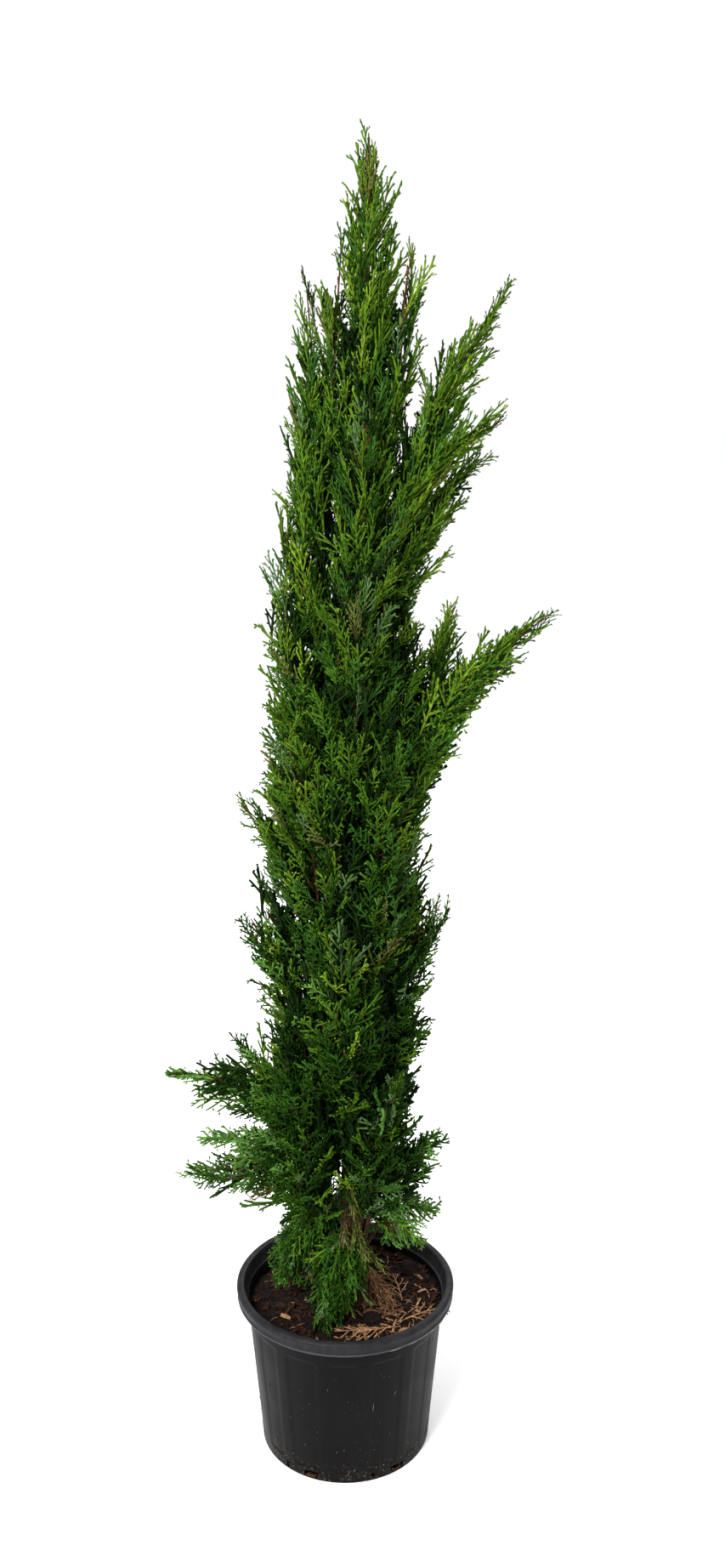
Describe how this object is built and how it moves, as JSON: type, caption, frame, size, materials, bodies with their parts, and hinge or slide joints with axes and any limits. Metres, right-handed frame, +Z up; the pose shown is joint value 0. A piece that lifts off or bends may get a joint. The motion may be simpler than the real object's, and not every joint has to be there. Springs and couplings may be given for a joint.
{
  "type": "potted cypress tree",
  "caption": "Young columnar conifer with dense upright plumes and low spreading sprays, growing in a round black nursery pot filled with bark compost.",
  "frame": {"origin": "centre of the pot's flat underside, on the ground", "axes": "+Z up along the trunk, -Y towards the viewer's side, +X to the side where the long plumes lean out"},
  "size_m": [0.4756, 0.3, 1.722],
  "materials": {
    "pot": "scuffed matt black moulded plastic with dust",
    "soil": "dark bark compost with pale fibres and dry twigs",
    "bark": "thin fibrous brown bark",
    "foliage": "dense scale-leaf sprays, mid to dark green",
    "dry_foliage": "dry tan sprays"
  },
  "bodies": {
    "root": {"body_foot_1": "foliage", "body_foot_2": "foliage", "body_foot_3": "foliage", "body_foot_4": "foliage", "body_high_1": "foliage", "body_high_2": "foliage", "body_high_3": "foliage", "body_high_4": "foliage", "body_low_1": "foliage", "body_low_2": "foliage", "body_low_3": "foliage", "body_low_4": "foliage", "body_middle_1": "foliage", "body_middle_2": "foliage", "body_middle_3": "foliage", "body_middle_4": "foliage", "body_upper_1": "foliage", "body_upper_2": "foliage", "body_upper_3": "foliage", "bough_back": "bark", "bough_dry": "bark", "bough_front": "bark", "bough_left": "bark", "bough_left_fan": "bark", "bough_right": "bark", "bough_right_fan": "bark", "bough_skirt": "bark", "dry_fan": "dry_foliage", "fan_front_right": "foliage", "fan_left_front": "foliage", "fan_left_high": "foliage", "fan_left_low": "foliage", "fan_right_low": "foliage", "fan_right_middle": "foliage", "leader_left_shoulder": "foliage", "leader_shoulder": "foliage", "leader_spire": "foliage", "left_foot_tuft": "foliage", "left_lower_tuft": "foliage", "left_middle_tuft": "foliage", "left_spire": "foliage", "pot": "pot", "right_lower_tuft": "foliage", "right_middle_plume": "foliage", "right_middle_twin": "foliage", "right_second_plume": "foliage", "right_upper_arm": "foliage", "right_upper_plume": "foliage", "skirt_back": "foliage", "skirt_front": "foliage", "skirt_left": "foliage", "soil": "soil", "trunk": "bark"}
  },
  "joints": []
}
